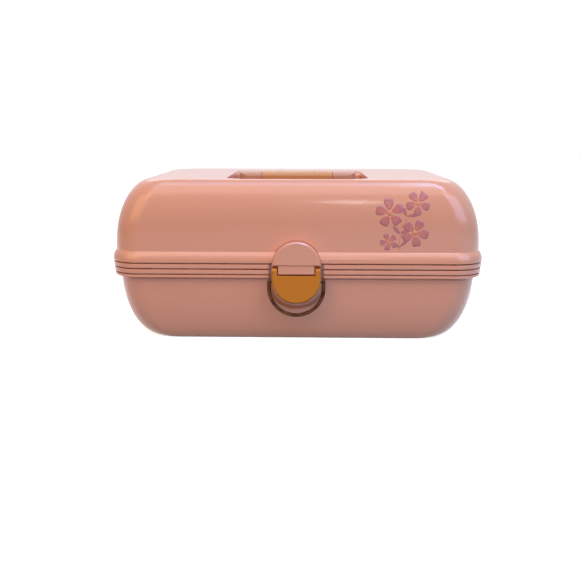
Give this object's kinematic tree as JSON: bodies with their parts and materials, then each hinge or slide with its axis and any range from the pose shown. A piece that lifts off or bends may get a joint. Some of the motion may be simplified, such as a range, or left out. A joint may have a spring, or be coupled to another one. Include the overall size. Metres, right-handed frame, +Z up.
{
  "type": "makeup storage case",
  "caption": "Moulded hinged case for make-up with a folding top handle, a front hasp with a pull ring, cantilever trays and a lid mirror.",
  "frame": {"origin": "middle of the flat bottom of the tub, under the centre of the shells", "axes": "+Z up, +X to the right seen from the front, -Y towards the latch"},
  "size_m": [0.335, 0.2284, 0.1504],
  "materials": {
    "shell_plastic": "gloss",
    "amber_plastic": "satin",
    "handle_plastic": "gloss",
    "tray_plastic": "satin",
    "bronze": "aged",
    "steel": "plain",
    "arm_metal": "plated",
    "mirror_silver": "mirror"
  },
  "bodies": {
    "base": {"base_shell": "shell_plastic", "hinge_pin_left": "steel", "hinge_pin_right": "steel", "base_pivot_rivets": "steel"},
    "lid": {"lid_shell": "shell_plastic", "latch_pad": "shell_plastic", "latch_pin": "steel", "handle_pins": "steel", "mirror_pins": "steel", "lid_rivets": "steel"},
    "latch_flap": {"latch_flap": "amber_plastic"},
    "pull_ring": {"pull_ring": "bronze"},
    "handle": {"handle_frame": "handle_plastic", "handle_grip_cover": "amber_plastic", "grip_screws": "steel"},
    "mirror": {"mirror_frame": "tray_plastic", "mirror_glass": "mirror_silver"},
    "front_arms": {"front_arm_left": "arm_metal", "front_arm_right": "arm_metal", "link_rivets": "steel"},
    "rear_arms": {"rear_arm_left": "arm_metal", "rear_arm_right": "arm_metal"},
    "lower_tray": {"lower_tray": "tray_plastic", "lower_dividers": "tray_plastic", "lower_tray_rivets": "steel"},
    "upper_tray": {"upper_tray": "tray_plastic", "upper_dividers": "tray_plastic", "upper_tray_rivets": "steel"},
    "lid_links": {"lid_link_left": "arm_metal", "lid_link_right": "arm_metal"}
  },
  "joints": [
    {"name": "lid_hinge", "type": "hinge", "parent": "base", "child": "lid", "pos_m": [0, 0.112, 0.0669], "axis": [-1, 0, 0], "range_deg": [0, 100]},
    {"name": "latch_turn", "type": "hinge", "parent": "lid", "child": "latch_flap", "pos_m": [0, -0.1105, 0.0663], "axis": [-1, 0, 0], "range_deg": [0, 80]},
    {"name": "ring_swing", "type": "hinge", "parent": "latch_flap", "child": "pull_ring", "pos_m": [0, -0.1095, 0.0563], "axis": [-1, 0, 0], "range_deg": [0, 105]},
    {"name": "handle_fold", "type": "hinge", "parent": "lid", "child": "handle", "pos_m": [0, 0.024, 0.1408], "axis": [-1, 0, 0], "range_deg": [0, 95]},
    {"name": "mirror_fold", "type": "hinge", "parent": "lid", "child": "mirror", "pos_m": [0, -0.0515, 0.12975], "axis": [-1, 0, 0], "range_deg": [0, 35]},
    {"name": "front_arm_swing", "type": "hinge", "parent": "base", "child": "front_arms", "pos_m": [0, -0.00999, 0.0369], "axis": [-1, 0, 0], "range_deg": [0, 100]},
    {"name": "rear_arm_swing", "type": "hinge", "parent": "base", "child": "rear_arms", "pos_m": [0, 0.04501, 0.0369], "axis": [-1, 0, 0], "range_deg": [0, 100]},
    {"name": "lower_tray_level", "type": "hinge", "parent": "front_arms", "child": "lower_tray", "pos_m": [0, -0.04896, 0.0594], "axis": [-1, 0, 0], "range_deg": [-100, 0]},
    {"name": "upper_tray_level", "type": "hinge", "parent": "front_arms", "child": "upper_tray", "pos_m": [0, -0.0836, 0.0794], "axis": [-1, 0, 0], "range_deg": [-100, 0]},
    {"name": "lid_link_swing", "type": "hinge", "parent": "front_arms", "child": "lid_links", "pos_m": [0, -0.03597, 0.0519], "axis": [-1, 0, 0], "range_deg": [-100, 0]}
  ],
  "couplings": [
    {"joint": "front_arm_swing", "follows": "lid_hinge", "ratio": 1},
    {"joint": "rear_arm_swing", "follows": "lid_hinge", "ratio": 1},
    {"joint": "lower_tray_level", "follows": "lid_hinge", "ratio": -1},
    {"joint": "upper_tray_level", "follows": "lid_hinge", "ratio": -1},
    {"joint": "lid_link_swing", "follows": "lid_hinge", "ratio": -1}
  ]
}
